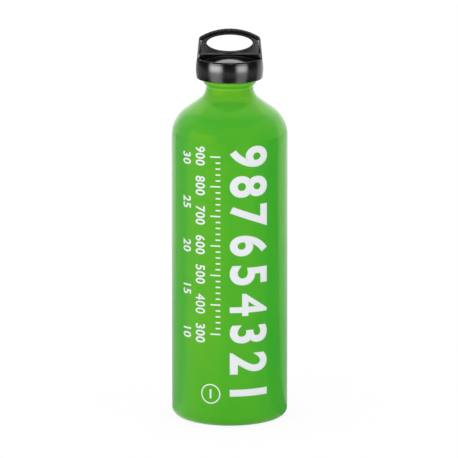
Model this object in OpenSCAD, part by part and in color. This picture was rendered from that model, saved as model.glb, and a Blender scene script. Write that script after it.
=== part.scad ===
// One litre aluminium fuel bottle with a press-and-turn screw closure and a carrying loop.
// Millimetres, +Z up. The origin lies on the bottle's axis, in the plane that the bottle stands on.

/* [Bottle body] */
// Outside diameter of the straight body
body_d = 80; // [74:0.5:90]
// Height at which the straight wall ends and the shoulder starts
straight_top = 197.4; // [120:0.2:260]
// Thickness of the body wall
wall = 0.8; // [0.6:0.05:1.2]
// Radius of the rounded edge between the wall and the base
base_edge_r = 5.9; // [3:0.1:9]
// Width of the flat ring that the bottle stands on
foot_w = 2; // [1:0.1:4]
// Height of the base's inward dome over the standing plane
base_rise = 6.5; // [3:0.5:12]
// Thickness of the base
base_wall = 1.2; // [0.8:0.05:2.4]

/* [Shoulder and neck] */
// Radius of the shoulder's outward curve
shoulder_r = 23.4; // [20:0.2:25]
// Radius of the hollow curve between the shoulder and the neck
throat_r = 11; // [9:0.2:13]
// Rise from the straight wall's end to the narrowest part of the neck
shoulder_rise = 34.7; // [33.5:0.1:44]
// Outside diameter of the neck at its narrowest
neck_d = 32.4; // [31.6:0.1:34]
// Thickness of the drawn-in neck, which is more than the body's
neck_wall = 1.3; // [1:0.05:1.5]
// Height of the straight waist over the hollow curve
waist_h = 0.3; // [0.1:0.1:2]
// Height of the tapered step from the waist out to the bead
step_h = 2.6; // [1.6:0.1:4]
// Outside diameter of the bead that grips the thread insert
bead_d = 36.4; // [35.6:0.1:37.4]
// Height of the bead, from the step to the rim
bead_h = 5.4; // [4:0.1:8]
// Thickness of the rim that is rolled in over the insert
lip_h = 1; // [0.7:0.1:1.6]
// Width of the insert's bare land inside the rolled rim, where the seal sits
seat_w = 2.15; // [1.9:0.05:2.4]

/* [Thread] */
// Diameter over the plug's thread
thread_d = 26.2; // [25:0.1:26.6]
// Depth of the thread
thread_depth = 1.2; // [0.9:0.05:1.3]
// Pitch of the thread
thread_pitch = 3; // [2.6:0.1:4]
// Width of a thread ridge at its crest
crest_w = 0.8; // [0.5:0.05:0.9]
// Width of a thread ridge at its root
root_w = 1.6; // [1.2:0.05:1.8]
// Clearance between the two threads, crest to root
thread_gap = 0.35; // [0.25:0.05:0.45]
// Height of the insert, from its lower end to the rim
insert_h = 17.2; // [13:0.1:19]
// Length of the plug's stem below the rim
stem_len = 15.6; // [12:0.1:16.6]
// Chamfer round the stem's lower end
stem_chamfer = 1; // [0.5:0.1:2]
// Depth below the rim at which both threads end
thread_top = 2.4; // [1.8:0.1:3.5]
// Wall of the plug's hollow stem
stem_wall = 2.4; // [1.8:0.1:3]

/* [Seal] */
// Diameter of the seal ring's round section
seal_d = 2; // [1.8:0.05:2.1]
// Gap between the rim and the plug's flange, with the seal squeezed
seal_gap = 1.2; // [0.8:0.05:1.4]

/* [Closure] */
// Largest outside diameter of the closure's skirt
skirt_d = 46.4; // [45.4:0.1:52]
// Thickness of the skirt where it is widest
skirt_wall = 2.7; // [2.2:0.1:3]
// How far the skirt reaches down past the bottle's rim
skirt_drop = 2.8; // [2:0.1:4]
// Height of the skirt's widest line over its lower edge
belly_h = 6.7; // [4:0.1:9]
// Radius of the skirt's barrel curve
barrel_r = 35; // [28:1:60]
// Height of the skirt, from its lower edge to the top of its upper rim
skirt_h = 14.1; // [13.8:0.1:16]
// Width of the skirt's upper rim
rim_w = 1.7; // [1.2:0.1:2.4]
// Radius of the domed top inside the rim
dome_r = 56; // [45:1:90]
// Height of the dome's middle over the rim
dome_rise = 1.2; // [0.6:0.1:1.5]
// Radius of the skirt's rounded lower edge
edge_r = 1.2; // [0.6:0.1:1.3]
// Thickness of the top over the hollow in its middle
top_wall = 2.4; // [1.8:0.1:3]
// Thickness of the plug's flange
flange_h = 2; // [1.6:0.1:2.4]
// How far the snap bead in the skirt reaches in under the flange
snap_depth = 0.6; // [0.4:0.05:1]
// Height of the snap bead
snap_h = 1; // [0.8:0.1:1.2]
// Clearance between closure parts that slide or turn on each other
play = 0.3; // [0.2:0.05:0.35]

/* [Drive lugs and spring] */
// How far the shell is pressed down to catch the plug
press_travel = 1.4; // [1.1:0.1:1.5]
// Number of drive lugs on each part
lug_count = 12; // [8:4:12]
// Height of a drive lug
lug_h = 1.4; // [1.2:0.1:1.5]
// Gap over a drive lug when the shell is pressed down
lug_play = 0.4; // [0.3:0.05:0.8]
// Width of a drive lug
lug_w = 2.6; // [1.6:0.1:3]
// Radial length of a drive lug
lug_len = 5; // [4:0.1:5.5]
// Distance from the drive lugs' outer ends to the edge of the plug's flange
lug_inset = 0.6; // [0.4:0.1:1]
// Radial width of the spring ring
spring_w = 2.8; // [2:0.1:3]
// Thickness of the spring ring
spring_t = 0.7; // [0.5:0.05:0.9]
// Number of waves round the spring ring
spring_waves = 3; // [3:1:5]

/* [Carrying loop] */
// Height of the loop's top over the skirt's upper rim
loop_h = 20; // [18:0.1:30]
// Width of the loop at its upper corners
loop_top_w = 42.4; // [38:0.1:43]
// Width of the loop at its foot, where it meets the skirt
loop_foot_w = 44.6; // [43.6:0.1:44.8]
// Thickness of the loop's plate over its raised border
loop_t = 5; // [4:0.1:6.5]
// Radius of the loop's arched top
arch_r = 39.5; // [32:0.5:60]
// Radius of the loop's upper corners
corner_r = 2.6; // [2:0.1:4]
// Width of the raised border
border_w = 1.4; // [1:0.1:1.8]
// Height of the raised border over the web
border_t = 0.5; // [0.3:0.05:0.8]
// Height of the web's lower edge over the skirt's rim
web_foot = 3.9; // [3:0.1:5]
// Width of the oval eye
eye_w = 31.6; // [26:0.1:33]
// Height of the oval eye
eye_h = 11.8; // [9:0.1:12.4]
// Depth of the eye's middle below the loop's top
eye_drop = 9.6; // [9:0.1:10]

/* [Hidden] */

// Smoothness of round surfaces, and of the small round sections that are turned into rings
round_fn = 128;
small_fn = 48;
// Overlap that joins the parts of one solid
join = 0.3;
// Gap left where one part is pressed or rolled onto another
seat_fit = 0.05;

body_r = body_d / 2;
neck_r = neck_d / 2;
bead_r = bead_d / 2;

// Heights from the standing plane up
waist_z = straight_top + shoulder_rise;
step_z = waist_z + waist_h;
bead_z = step_z + step_h;
rim_z = bead_z + bead_h;

// Base: the flat foot ring, and the sphere that hollows the base inside it
foot_outer_r = body_r - base_edge_r;
foot_inner_r = foot_outer_r - foot_w;
base_dome_r = (pow(foot_inner_r, 2) + pow(base_rise, 2)) / (2 * base_rise);

// Centres of the shoulder's two curves in the half section
shoulder_c = [body_r - shoulder_r, straight_top];
throat_c = [neck_r + throat_r, waist_z];

// Thread: the plug's ridge runs between the insert's ridges, half a pitch away
plug_crest_r = thread_d / 2;
plug_core_r = plug_crest_r - thread_depth;
insert_root_r = plug_crest_r + thread_gap;
insert_crest_r = plug_core_r + thread_gap;
stem_z = rim_z - stem_len;
insert_z = rim_z - insert_h;
thread_z = stem_z + stem_chamfer + root_w;
// Each ridge has this many steps a turn, and fades in and out over this share of a turn
thread_steps = 36;
fade_turn = 1 / 8;

// Insert and rim: collar under the rolled lip, land inside it
insert_waist_r = neck_r - neck_wall - seat_fit;
insert_collar_r = bead_r - neck_wall - seat_fit;
land_r = insert_root_r + seat_w;

// Closure heights
flange_z = rim_z + seal_gap;
flange_top = flange_z + flange_h;
ceiling_z = flange_top + lug_h + press_travel + lug_play;
skirt_z = rim_z - skirt_drop;
skirt_top = skirt_z + skirt_h;
belly_z = skirt_z + belly_h;
dome_z = skirt_top + dome_rise;

// Closure radii
skirt_r = skirt_d / 2;
skirt_inner_r = skirt_r - skirt_wall;
flange_r = skirt_inner_r - play;
snap_r = flange_r - snap_depth;
lug_outer_r = flange_r - lug_inset;
lug_inner_r = lug_outer_r - lug_len;
spring_outer_r = lug_inner_r - play;
core_r = spring_outer_r - spring_w - play;
seal_r = (insert_root_r + land_r) / 2;

// Radius of the skirt's barrel curve at a height, and the middle of its rounded upper rim
function barrel_at(z) = skirt_r - barrel_r + sqrt(pow(barrel_r, 2) - pow(z - belly_z, 2));
rim_c = [barrel_at(skirt_top - rim_w / 2) - rim_w / 2, skirt_top - rim_w / 2];

// Steps round the spring ring
spring_steps = 96;

// Loop
loop_top = skirt_top + loop_h;
arch_z = loop_top - arch_r;
eye_z = loop_top - eye_drop;

// Steps along the loop's arched top, round each upper corner, and round the eye
arch_steps = 48;
corner_steps = 8;
eye_steps = 72;

// Points along a round stretch, from angle a to angle b in n steps
function arc(centre, r, a, b, n) =
    [for (i = [0:n]) let (t = a + (b - a) * i / n) centre + r * [cos(t), sin(t)]];

// Angle at which the straight flank leaves the shoulder curve of radius a
// and meets the throat curve of radius b: both curves touch the flank
function flank_angle(a, b) =
    let (d = throat_c - shoulder_c) atan2(d[1], d[0]) - acos((a + b) / norm(d));

// Filled half section of the bottle below the waist, with the shoulder's and the throat's radii given
module body_section(r, low_z, edge_r, out_r, in_r) {
    t = flank_angle(out_r, in_r);
    n = [cos(t), sin(t)];
    difference() {
        union() {
            translate([0, low_z]) square([r - edge_r, edge_r + join]);
            translate([r - edge_r, low_z + edge_r]) circle(edge_r, $fn = round_fn);
            translate([0, low_z + edge_r]) square([r, straight_top - low_z - edge_r]);
            intersection() {
                translate(shoulder_c) circle(out_r, $fn = round_fn);
                translate([0, straight_top - join]) square([r, out_r + join]);
            }
            polygon([[0, straight_top - join], [shoulder_c[0], straight_top - join], shoulder_c,
                     shoulder_c + out_r * n, throat_c - in_r * n, throat_c, [0, waist_z]]);
        }
        translate(throat_c) circle(in_r, $fn = round_fn);
        translate([-body_r, 0]) square([body_r, rim_z]);
    }
}

// Filled half section of the neck over the waist, drawn in by the given distance
module neck_section(inset, top_z) {
    polygon([[0, waist_z - join], [neck_r - inset, waist_z - join], [neck_r - inset, step_z],
             [bead_r - inset, bead_z], [bead_r - inset, top_z], [0, top_z]]);
}

// Sphere that hollows the base, as a circle in the half section
module base_dome(extra) {
    translate([0, base_rise - base_dome_r]) circle(base_dome_r + extra, $fn = 2 * round_fn);
}

module bottle_section() {
    difference() {
        union() {
            body_section(body_r, 0, base_edge_r, shoulder_r, throat_r);
            neck_section(0, rim_z);
        }
        base_dome(0);
        difference() {
            body_section(body_r - wall, base_wall, base_edge_r - wall, shoulder_r - wall,
                         throat_r + neck_wall);
            base_dome(base_wall);
        }
        neck_section(neck_wall, rim_z - lip_h);
        translate([0, rim_z - lip_h - join]) square([land_r, lip_h + 2 * join]);
    }
}

// One thread ridge as a closed band of triangles. Its root lies at root_r, sunk into the wall that
// carries it, and its crest at crest_r. Both ends fade back into that wall.
module ridge(root_r, crest_r, sink, start_z, turns) {
    n = round(turns * thread_steps);
    out = sign(crest_r - root_r);
    function fade(i) = min(1, i / (fade_turn * thread_steps), (n - i) / (fade_turn * thread_steps));
    function at(i, r, dz) =
        let (a = 360 * i / thread_steps)
        [r * cos(a), r * sin(a), start_z + thread_pitch * i / thread_steps + dz];
    pts = [for (i = [0:n])
           let (tip = root_r - out * sink / 2 + (crest_r - root_r + out * sink / 2) * fade(i))
           each [at(i, root_r - out * sink, -root_w / 2), at(i, tip, -crest_w / 2),
                 at(i, tip, crest_w / 2), at(i, root_r - out * sink, root_w / 2)]];
    sides = [for (i = [0:n - 1], k = [0:3])
             let (a = 4 * i + k, b = 4 * i + (k + 1) % 4)
             each [[a, b, b + 4], [a, b + 4, a + 4]]];
    ends = [[0, 3, 2], [0, 2, 1], [4 * n, 4 * n + 1, 4 * n + 2], [4 * n, 4 * n + 2, 4 * n + 3]];
    band = concat(sides, ends);
    polyhedron(pts, out > 0 ? band : [for (f = band) [f[2], f[1], f[0]]]);
}

// The drawn aluminium shell: base, wall, shoulder, neck and rolled rim in one piece
module bottle_shell() {
    color([0.3, 0.68, 0.18]) rotate_extrude($fn = round_fn) bottle_section();
}

// Machined ring in the neck that carries the female thread and the seal's land
module neck_insert() {
    color([0.78, 0.79, 0.8]) union() {
        rotate_extrude($fn = round_fn)
            polygon([[insert_root_r, insert_z], [insert_waist_r, insert_z],
                     [insert_waist_r, step_z], [insert_collar_r, bead_z],
                     [insert_collar_r, rim_z - lip_h - seat_fit],
                     [land_r - seat_fit, rim_z - lip_h - seat_fit],
                     [land_r - seat_fit, rim_z], [insert_root_r, rim_z]]);
        ridge(insert_root_r, insert_crest_r, join, thread_z - thread_pitch / 2,
              (rim_z - thread_top - thread_z) / thread_pitch);
    }
}

// Round-section ring that the plug's flange squeezes onto the insert's land
module seal_ring() {
    color([0.12, 0.12, 0.12]) translate([0, 0, rim_z + seal_d / 2 + seat_fit])
        rotate_extrude($fn = round_fn) translate([seal_r, 0]) circle(seal_d / 2, $fn = small_fn);
}

// A ring of drive lugs, from the given height up
module lugs(z, turn) {
    for (i = [0:lug_count - 1])
        rotate(turn + i * 360 / lug_count)
            translate([lug_inner_r, -lug_w / 2, z]) cube([lug_len, lug_w, lug_h + join]);
}

// Inner part of the closure: threaded hollow stem, seal groove, flange and drive lugs
module screw_plug() {
    groove_h = seal_d - seal_gap + 2 * seat_fit;
    groove_r = seal_d / 2 + seat_fit;
    bore_r = plug_core_r - stem_wall;
    color([0.2, 0.2, 0.21]) union() {
        rotate_extrude($fn = round_fn) difference() {
            polygon([[0, stem_z], [plug_core_r - stem_chamfer, stem_z],
                     [plug_core_r, stem_z + stem_chamfer], [plug_core_r, flange_z],
                     [flange_r, flange_z], [flange_r, flange_top], [bore_r, flange_top],
                     [bore_r, stem_z + stem_wall], [0, stem_z + stem_wall]]);
            translate([seal_r - groove_r, flange_z - join]) square([2 * groove_r, groove_h + join]);
        }
        ridge(plug_core_r, plug_crest_r, join, thread_z, (rim_z - thread_top - thread_z) / thread_pitch);
        lugs(flange_top - join, 0);
    }
}

// Waved ring that holds the shell up off the plug until it is pressed
module spring_ring() {
    n = spring_steps;
    inner_r = spring_outer_r - spring_w;
    low_z = flange_top + seat_fit;
    swing = (ceiling_z - seat_fit - low_z - spring_t) / 2;
    function wave(i) = low_z + swing * (1 - cos(360 * spring_waves * i / n));
    function at(i, r, dz) = [r * cos(360 * i / n), r * sin(360 * i / n), wave(i) + dz];
    pts = [for (i = [0:n - 1]) each [at(i, inner_r, 0), at(i, spring_outer_r, 0),
                                     at(i, spring_outer_r, spring_t), at(i, inner_r, spring_t)]];
    faces = [for (i = [0:n - 1], k = [0:3])
             let (a = 4 * i + k, b = 4 * i + (k + 1) % 4, m = 4 * n)
             each [[a, b, (b + 4) % m], [a, (b + 4) % m, (a + 4) % m]]];
    color([0.85, 0.84, 0.8]) polyhedron(pts, faces);
}

// Half section of the shell's round part: barrel skirt, rim, domed top and snap bead
module skirt_section() {
    edge_c = [barrel_at(skirt_z + edge_r) - edge_r, skirt_z + edge_r];
    difference() {
        union() {
            intersection() {
                translate([skirt_r - barrel_r, belly_z]) circle(barrel_r, $fn = 2 * round_fn);
                translate([0, edge_c[1]]) square([skirt_r, rim_c[1] - edge_c[1]]);
            }
            translate(rim_c) circle(rim_w / 2, $fn = round_fn);
            translate(edge_c) circle(edge_r, $fn = round_fn);
            translate([0, skirt_z]) square([edge_c[0], 2 * edge_r]);
        }
        translate([0, skirt_z - join]) square([skirt_inner_r, ceiling_z - skirt_z + join]);
        translate([0, ceiling_z + join]) square([rim_c[0] - rim_w / 2, skirt_h]);
    }
    intersection() {
        translate([0, dome_z - dome_r]) circle(dome_r, $fn = 2 * round_fn);
        translate([0, ceiling_z]) square([rim_c[0], skirt_h]);
    }
    translate([snap_r + snap_h / 2, flange_z - play - snap_h / 2]) circle(snap_h / 2, $fn = small_fn);
    translate([snap_r + snap_h / 2, flange_z - play - snap_h])
        square([skirt_inner_r - snap_r - snap_h / 2 + join, snap_h]);
}

// Outline of the loop's plate in the XZ plane, drawn in by the given distance, down to foot_z
module loop_outline(inset, foot_z) {
    x = loop_top_w / 2 - corner_r;
    c = [x, arch_z + sqrt(pow(arch_r - corner_r, 2) - pow(x, 2))];
    b = atan2(c[1] - arch_z, c[0]);
    right = concat([[loop_foot_w / 2 - inset, foot_z]], arc(c, corner_r - inset, 0, b, corner_steps));
    top = arc([0, arch_z], arch_r - inset, b, 180 - b, arch_steps);
    left = [for (i = [len(right) - 1:-1:0]) [-right[i][0], right[i][1]]];
    polygon(concat(right, top, left));
}

// Plate of the loop with its oval eye and the web sunk between the raised borders
module loop_plate() {
    rotate([90, 0, 0]) difference() {
        translate([0, 0, -loop_t / 2]) linear_extrude(loop_t) union() {
            loop_outline(0, skirt_top - rim_w / 2);
            translate([-rim_c[0], ceiling_z + join]) square([2 * rim_c[0], skirt_top - ceiling_z]);
        }
        for (side = [0, 1])
            mirror([0, 0, side]) translate([0, 0, loop_t / 2 - border_t]) linear_extrude(border_t + join)
                loop_outline(border_w, skirt_top + web_foot);
        translate([0, eye_z, -loop_t]) linear_extrude(2 * loop_t)
            polygon([for (i = [0:eye_steps - 1]) let (t = 360 * i / eye_steps)
                     [eye_w / 2 * cos(t), eye_h / 2 * sin(t)]]);
    }
}

// Outer part of the closure: skirt, domed top, snap bead, drive lugs and carrying loop
module cap_shell() {
    color([0.16, 0.16, 0.17]) union() {
        difference() {
            union() {
                rotate_extrude($fn = round_fn) skirt_section();
                loop_plate();
            }
            translate([0, 0, ceiling_z - join])
                cylinder(dome_z - top_wall - ceiling_z + join, r = core_r, $fn = round_fn);
        }
        lugs(ceiling_z - lug_h, 180 / lug_count);
    }
}

bottle_shell();
neck_insert();
seal_ring();
screw_plug();
spring_ring();
cap_shell();
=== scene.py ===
"""Looks of the one litre fuel bottle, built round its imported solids.

Shapes are worked out in millimetres, as whole arrays, and go into the meshes in metres.
"""

import math

import bmesh
import bpy
import numpy as np
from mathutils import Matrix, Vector


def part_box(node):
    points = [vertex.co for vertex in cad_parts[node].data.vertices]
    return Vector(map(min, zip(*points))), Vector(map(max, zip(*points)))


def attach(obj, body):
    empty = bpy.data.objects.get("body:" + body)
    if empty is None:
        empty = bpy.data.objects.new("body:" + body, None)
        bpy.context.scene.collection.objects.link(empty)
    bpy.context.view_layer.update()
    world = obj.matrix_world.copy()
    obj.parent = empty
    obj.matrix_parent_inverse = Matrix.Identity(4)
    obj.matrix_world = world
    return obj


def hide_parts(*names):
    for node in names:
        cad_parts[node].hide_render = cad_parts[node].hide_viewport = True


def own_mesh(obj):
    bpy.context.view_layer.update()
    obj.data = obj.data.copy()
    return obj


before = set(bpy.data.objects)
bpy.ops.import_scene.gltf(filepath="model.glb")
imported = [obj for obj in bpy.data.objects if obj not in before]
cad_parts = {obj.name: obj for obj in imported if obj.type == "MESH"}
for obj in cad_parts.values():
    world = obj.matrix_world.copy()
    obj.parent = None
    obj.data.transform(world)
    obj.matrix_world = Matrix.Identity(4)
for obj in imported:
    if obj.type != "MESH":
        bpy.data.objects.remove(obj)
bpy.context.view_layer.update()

MM = 0.001
TURN = 2 * math.pi


def corners_of(node):
    """Lowest and highest corner of a CAD node, in millimetres."""
    low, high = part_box(node)
    return np.array(low) / MM, np.array(high) / MM


# Bottle body, from the solids' boxes and the part's own sizes
BODY_R = corners_of("bottle_shell")[1][0]
RIM_Z = corners_of("bottle_shell")[1][2]
WALL, NECK_WALL, BASE_WALL = 0.8, 1.3, 1.2
BASE_EDGE_R, FOOT_W, BASE_RISE = 5.9, 2.0, 6.5
SHOULDER_R, THROAT_R = 23.4, 11.0
STRAIGHT_TOP, SHOULDER_RISE = 197.4, 34.7
NECK_R, WAIST_H, STEP_H, BEAD_R, LIP_H = 16.2, 0.3, 2.6, 18.2, 1.0
WAIST_Z = STRAIGHT_TOP + SHOULDER_RISE
STEP_Z = WAIST_Z + WAIST_H
BEAD_Z = STEP_Z + STEP_H
FOOT_OUTER_R = BODY_R - BASE_EDGE_R
FOOT_INNER_R = FOOT_OUTER_R - FOOT_W
BASE_DOME_R = (FOOT_INNER_R**2 + BASE_RISE**2) / (2 * BASE_RISE)

# Thread, insert and plug
PITCH, CREST_W, ROOT_W, THREAD_DEPTH, THREAD_GAP = 3.0, 0.8, 1.6, 1.2, 0.35
PLUG_CREST_R = 13.1
PLUG_CORE_R = PLUG_CREST_R - THREAD_DEPTH
INSERT_ROOT_R = PLUG_CREST_R + THREAD_GAP
LAND_R = INSERT_ROOT_R + 2.15
SEAT_FIT = 0.05
INSERT_Z = corners_of("neck_insert")[0][2]
STEM_Z = corners_of("screw_plug")[0][2]
STEM_CHAMFER, STEM_WALL, THREAD_TOP = 1.0, 2.4, 2.4
THREAD_Z = STEM_Z + STEM_CHAMFER + ROOT_W
THREAD_TURNS = (RIM_Z - THREAD_TOP - THREAD_Z) / PITCH
FADE_TURN = 1 / 8

# Seal, flange, lugs and spring
SEAL_R, SEAL_D, SEAL_GAP = (INSERT_ROOT_R + LAND_R) / 2, 2.0, 1.2
PLAY = 0.3
FLANGE_Z = RIM_Z + SEAL_GAP
FLANGE_TOP = FLANGE_Z + 2.0
FLANGE_R = 20.2
LUG_COUNT, LUG_W, LUG_H, LUG_LEN, LUG_OUTER_R = 12, 2.6, 1.4, 5.0, FLANGE_R - 0.6
LUG_SUNK = 0.3
PRESS = 1.4
CEILING_Z = FLANGE_TOP + LUG_H + PRESS + 0.4
SPRING_OUTER_R = LUG_OUTER_R - LUG_LEN - PLAY
SPRING_W, SPRING_T, SPRING_WAVES = 2.8, 0.7, 3
CORE_R = SPRING_OUTER_R - SPRING_W - PLAY

# Skirt and top of the closure
SKIRT_Z = corners_of("cap_shell")[0][2]
SKIRT_R = corners_of("cap_shell")[1][0]
LOOP_TOP = corners_of("cap_shell")[1][2]
SKIRT_TOP, BELLY_Z = SKIRT_Z + 14.1, SKIRT_Z + 6.7
BARREL_R, RIM_W, EDGE_R, SKIRT_INNER_R = 35.0, 2.1, 1.2, SKIRT_R - 2.7
DOME_R, DOME_Z, TOP_WALL = 56.0, SKIRT_TOP + 1.2, 2.4
SNAP_R, SNAP_H, RIM_PROUD = FLANGE_R - 0.6, 1.0, 0.35

# Carrying loop
LOOP_HALF_T, LOOP_FOOT_X, LOOP_CORNER_X = 2.5, 22.3, 21.2
ARCH_R, CORNER_R = 39.5, 2.6
ARCH_Z = LOOP_TOP - ARCH_R
BORDER_W, BORDER_T, WEB_Z = 1.4, 0.5, SKIRT_TOP + 3.9
EYE_A, EYE_B, EYE_Z = 15.8, 5.9, LOOP_TOP - 9.6

# Camera, as it was fitted to the photograph
AIM_X, AIM_Z, CAMERA_DISTANCE, CAMERA_ELEVATION, LENS = -0.45, 131.3, 4000.0, 12.4, 455.0


# Lines in a half section

def arc(centre, radius, start, end, steps=24):
    """Points on a circle: the centre plus the radius times cosine and sine of an even run of angles."""
    angle = np.radians(np.linspace(start, end, steps + 1))
    return np.stack([centre[0] + radius * np.cos(angle), centre[1] + radius * np.sin(angle)], 1)


def rounded(corners, steps=6):
    """A line through corners (x, y, radius). A corner with a radius becomes the arc that touches both
    its sides: it starts where the side's distance to the corner is the radius over the tangent of half
    the corner's angle, and runs as a quadratic blend of those two points and the corner."""
    corners = np.array(corners, float)
    line = [corners[0, :2]]
    t = np.linspace(0, 1, steps + 1)[:, None]
    for before, here, after in zip(corners, corners[1:], corners[2:]):
        if here[2] == 0:
            line.append(here[:2])
            continue
        a = before[:2] - here[:2]
        b = after[:2] - here[:2]
        a, b = a / np.linalg.norm(a), b / np.linalg.norm(b)
        half = math.acos(np.clip(a @ b, -1, 1)) / 2
        reach = here[2] / math.tan(half)
        middle = here[:2] + (a + b) / np.linalg.norm(a + b) * here[2] / math.sin(half)
        first, last = here[:2] + a * reach - middle, here[:2] + b * reach - middle
        sweep = math.pi - 2 * half
        line.extend(middle + (np.sin((1 - t) * sweep) * first + np.sin(t * sweep) * last) / math.sin(sweep))
    line.append(corners[-1, :2])
    return np.array(line)


def joined(*lines, reach=0.15):
    """Lines end to end, without repeated points. Each long straight stretch gets a point a short reach
    from both its ends, so that smooth shading stays flat along it."""
    line = np.concatenate(lines)
    line = line[np.r_[True, np.linalg.norm(np.diff(line, axis=0), axis=1) > 1e-6]]
    step = np.diff(line, axis=0)
    length = np.linalg.norm(step, axis=1)
    unit = step / length[:, None]
    near, far = line[:-1] + unit * reach, line[1:] - unit * reach
    rows = np.stack([line[:-1], near, far], 1)
    keep = np.stack([np.ones(len(length), bool), length > 4 * reach, length > 4 * reach], 1)
    return np.concatenate([rows[keep], line[-1:]])


# Surfaces

def outward(verts, faces):
    """The faces of a closed surface, turned so that they point outwards: the sum of the signed volumes
    under its triangles is then positive."""
    a = verts[faces[:, 0]]
    volume = sum(np.sum(a * np.cross(verts[faces[:, k]], verts[faces[:, k + 1]]))
                 for k in range(1, faces.shape[1] - 1))
    return faces if volume > 0 else faces[:, ::-1]


def closed_grid(points):
    """A surface from a grid of points that closes on itself both ways, such as a ring."""
    rows, columns = points.shape[:2]
    i, k = np.meshgrid(np.arange(rows), np.arange(columns), indexing="ij")
    below, beside = (i + 1) % rows, (k + 1) % columns
    quads = np.stack([i * columns + k, i * columns + beside, below * columns + beside, below * columns + k], -1)
    verts = points.reshape(-1, 3)
    return verts, [outward(verts, quads.reshape(-1, 4))]


def turned(line, steps=256, radius=None):
    """A half section turned round Z. Point k of the line and angle a give (r cos a, r sin a, z), where
    radius(r, z, a) may change r. A line whose ends lie on the axis closes there in two fans of
    triangles, and any other line is closed end to end."""
    angle = np.arange(steps) * TURN / steps
    to_axis = line[0, 0] < 1e-6 and line[-1, 0] < 1e-6
    rings = line[1:-1] if to_axis else line
    r, z, a = np.broadcast_arrays(rings[:, :1], rings[:, 1:], angle[None, :])
    r = radius(r, z, a) if radius else r
    points = np.stack([r * np.cos(a), r * np.sin(a), z], -1)
    if not to_axis:
        return closed_grid(points)
    verts = np.concatenate([points.reshape(-1, 3), [[0, 0, line[0, 1]], [0, 0, line[-1, 1]]]])
    i, k = np.meshgrid(np.arange(len(rings) - 1), np.arange(steps), indexing="ij")
    beside = (k + 1) % steps
    quads = np.stack([i * steps + k, i * steps + beside, (i + 1) * steps + beside, (i + 1) * steps + k], -1)
    around, following = np.arange(steps), (np.arange(steps) + 1) % steps
    last, first_pole = (len(rings) - 1) * steps, len(verts) - 2
    first_fan = np.stack([np.full(steps, first_pole), following, around], 1)
    last_fan = np.stack([np.full(steps, first_pole + 1), last + around, last + following], 1)
    quads = quads.reshape(-1, 4)
    whole = np.concatenate([quads[:, [0, 1, 2]], quads[:, [0, 2, 3]], first_fan, last_fan])
    if np.array_equal(outward(verts, whole), whole):
        return verts, [quads, first_fan, last_fan]
    return verts, [quads[:, ::-1], first_fan[:, ::-1], last_fan[:, ::-1]]


def bevelled_block(size, middle, bevel=0.25):
    """A block as a stretched grid: the cross section is a rectangle with rounded corners, carried over
    four rings that draw in by the bevel at both ends."""
    half = np.array(size) / 2
    section = np.concatenate([arc((sx * (half[1] - bevel), sy * (half[2] - bevel)), bevel, start, start + 90, 3)
                              for sx, sy, start in ((1, 1, 0), (-1, 1, 90), (-1, -1, 180), (1, -1, 270))])
    along = np.array([-1, -1, 1, 1]) * (half[0] - np.array([0, bevel, bevel, 0]))
    drawn = np.array([bevel, 0, 0, bevel])
    scale = 1 - drawn[:, None, None] / half[1:]
    rings = np.concatenate([np.broadcast_to(along[:, None, None], (4, len(section), 1)), section * scale], -1)
    verts = rings.reshape(-1, 3) + middle
    n = len(section)
    i, k = np.meshgrid(np.arange(3), np.arange(n), indexing="ij")
    quads = np.stack([i * n + k, i * n + (k + 1) % n, (i + 1) * n + (k + 1) % n, (i + 1) * n + k], -1)
    fan = np.arange(1, n - 1)
    ends = np.concatenate([np.stack([np.zeros_like(fan), fan + 1, fan], 1),
                           np.stack([np.full_like(fan, 3 * n), 3 * n + fan, 3 * n + fan + 1], 1)])
    return verts, [quads.reshape(-1, 4), ends]


def lugs(low_z, first_angle):
    """A ring of drive lugs, each a bevelled block turned to its own angle, as one list of surfaces."""
    block, faces = bevelled_block((LUG_LEN, LUG_W, LUG_H + LUG_SUNK),
                                  (LUG_OUTER_R - LUG_LEN / 2, 0, low_z + (LUG_H + LUG_SUNK) / 2))
    surfaces = []
    for angle in first_angle + np.arange(LUG_COUNT) * TURN / LUG_COUNT:
        c, s = math.cos(angle), math.sin(angle)
        surfaces.append((block @ np.array([[c, s, 0], [-s, c, 0], [0, 0, 1]]), faces))
    return surfaces


def piece(name, body, slot, finish, surfaces, replaces=(), bare=None):
    """One object of the scene from closed surfaces in millimetres, smooth, riding on a body. A value
    for each point may go with it as the attribute that says where the metal is bare."""
    mesh = bpy.data.meshes.new(name)
    verts, faces, count = [], [], 0
    for points, groups in surfaces:
        verts.append(points)
        faces.extend(row for group in groups for row in (group + count).tolist())
        count += len(points)
    mesh.from_pydata((np.concatenate(verts) * MM).tolist(), [], faces)
    mesh.shade_smooth()
    if bare is not None:
        mesh.attributes.new("bare", "FLOAT", "POINT").data.foreach_set("value", bare.astype(np.float32))
    mesh.materials.append(finish)
    made = bpy.data.objects.new(name, mesh)
    bpy.context.scene.collection.objects.link(made)
    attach(made, body)
    for node in replaces:
        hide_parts(node)
    return made


# Shader trees

class Term:
    """A socket in a shader tree, so that sums and products of numbers are written as Python."""

    def __init__(self, tree, socket):
        self.tree, self.socket = tree, socket

    def maths(self, operation, *others):
        return self.tree.node("ShaderNodeMath", {"operation": operation}, dict(enumerate([self, *others])))

    def __add__(self, other):
        return self.maths("ADD", other)

    def __sub__(self, other):
        return self.maths("SUBTRACT", other)

    def __mul__(self, other):
        return self.maths("MULTIPLY", other)

    def __rsub__(self, other):
        return self.tree.node("ShaderNodeMath", {"operation": "SUBTRACT"}, {0: other, 1: self})

    __radd__, __rmul__ = __add__, __mul__

    def ramp(self, low, high):
        """0 below low, 1 above high, and smooth between."""
        return self.tree.node("ShaderNodeMapRange", {"interpolation_type": "SMOOTHSTEP"},
                              {0: self, 1: low, 2: high, 3: 0.0, 4: 1.0})


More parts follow.
